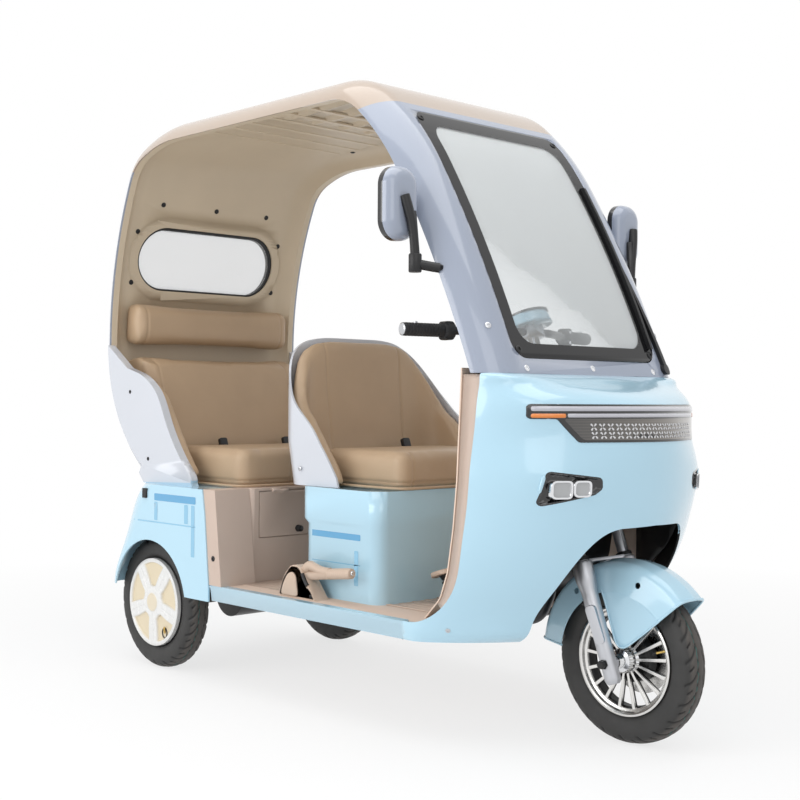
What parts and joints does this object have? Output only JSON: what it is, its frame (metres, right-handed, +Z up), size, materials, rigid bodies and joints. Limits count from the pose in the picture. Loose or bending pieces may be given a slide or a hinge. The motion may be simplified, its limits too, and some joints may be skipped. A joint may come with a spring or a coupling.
{
  "type": "electric passenger tricycle",
  "caption": "Roofed electric passenger tricycle: hoop canopy, bucket driver's seat, rear bench, steered front wheel, handlebar and rear axle.",
  "frame": {"origin": "on the ground, midway between the rearmost and foremost points, on the centre plane", "axes": "+X forward, +Y to the vehicle's left, +Z up"},
  "size_m": [2.133, 1.034, 1.7423],
  "materials": {
    "roof_tan": "gloss tan moulded skin",
    "shell_lilac": "gloss pale lilac moulded skin",
    "liner_beige": "satin taupe inner lining",
    "body_blue": "gloss light sky blue",
    "seat_white": "gloss lilac-white shell",
    "floor_tan": "matte tan with ribs",
    "leather_tan": "stitched tan leather",
    "clear_glass": "clear",
    "pane_white": "whitish clear pane",
    "black_rubber": "matte black",
    "black_plastic": "satin black",
    "lamp_smoke": "dark gloss lens",
    "frame_black": "satin black paint",
    "fork_silver": "satin silver",
    "wheel_silver": "machined silver",
    "cover_white": "white wheel cover",
    "steel": "bare steel",
    "tyre_black": "matte tyre rubber"
  },
  "bodies": {
    "chassis": {"roof_panel": "roof_tan", "rear_canopy_shell": "shell_lilac", "canopy_liner": "liner_beige", "rear_window": "pane_white", "rear_window_seal": "black_rubber", "windscreen_frame": "shell_lilac", "windscreen_glass": "clear_glass", "windscreen_band": "black_plastic", "seat_wings": "seat_white", "front_cowl": "body_blue", "headlamp_bar": "lamp_smoke", "fog_lamps": "lamp_smoke", "chassis_frame": "frame_black", "floor_board": "floor_tan", "leg_shield": "liner_beige", "dash_top": "liner_beige", "rear_body": "body_blue", "rear_pillars": "floor_tan", "tail_lamps": "black_plastic", "rear_seat_base": "floor_tan", "rear_cushion": "leather_tan", "rear_backrest": "leather_tan", "rear_headrest": "leather_tan", "driver_seat_box": "body_blue", "battery_pack": "black_plastic", "driver_seat_shell": "seat_white", "driver_seat_pad": "leather_tan", "driver_cushion": "leather_tan", "parking_brake": "floor_tan", "brake_pedal": "floor_tan", "mirror_heads": "shell_lilac", "mirror_arms": "black_plastic", "wiper": "black_plastic", "rear_axle": "frame_black", "drive_motor": "frame_black", "leaf_springs": "frame_black"},
    "steering": {"fork": "fork_silver", "front_axle": "steel", "front_fender": "body_blue", "handlebar": "frame_black", "grips": "black_rubber", "nacelle": "body_blue"},
    "front_wheel": {"front_rim": "wheel_silver", "front_tyre": "tyre_black", "brake_disc": "steel"},
    "rear_wheel_right": {"rear_tyre_right": "tyre_black", "rear_rim_right": "wheel_silver", "wheel_cover_right": "cover_white"},
    "rear_wheel_left": {"rear_tyre_left": "tyre_black", "rear_rim_left": "wheel_silver", "wheel_cover_left": "cover_white"},
    "storage_flap": {"storage_flap": "floor_tan", "flap_knobs": "black_plastic"}
  },
  "joints": [
    {"name": "steering_turn", "type": "hinge", "parent": "chassis", "child": "steering", "pos_m": [0.8246, 0, 0.21], "axis": [-0.342, 0, 0.9397], "range_deg": [-24, 24]},
    {"name": "front_wheel_spin", "type": "hinge", "parent": "steering", "child": "front_wheel", "pos_m": [0.8565, 0, 0.21], "axis": [0, 1, 0], "continuous": true},
    {"name": "rear_wheel_right_spin", "type": "hinge", "parent": "chassis", "child": "rear_wheel_right", "pos_m": [-0.7115, -0.359, 0.21], "axis": [0, 1, 0], "continuous": true},
    {"name": "rear_wheel_left_spin", "type": "hinge", "parent": "chassis", "child": "rear_wheel_left", "pos_m": [-0.7115, 0.359, 0.21], "axis": [0, 1, 0], "continuous": true},
    {"name": "storage_flap_hinge", "type": "hinge", "parent": "chassis", "child": "storage_flap", "pos_m": [-0.3192, 0, 0.5799], "axis": [0, -1, 0], "range_deg": [0, 80]}
  ]
}
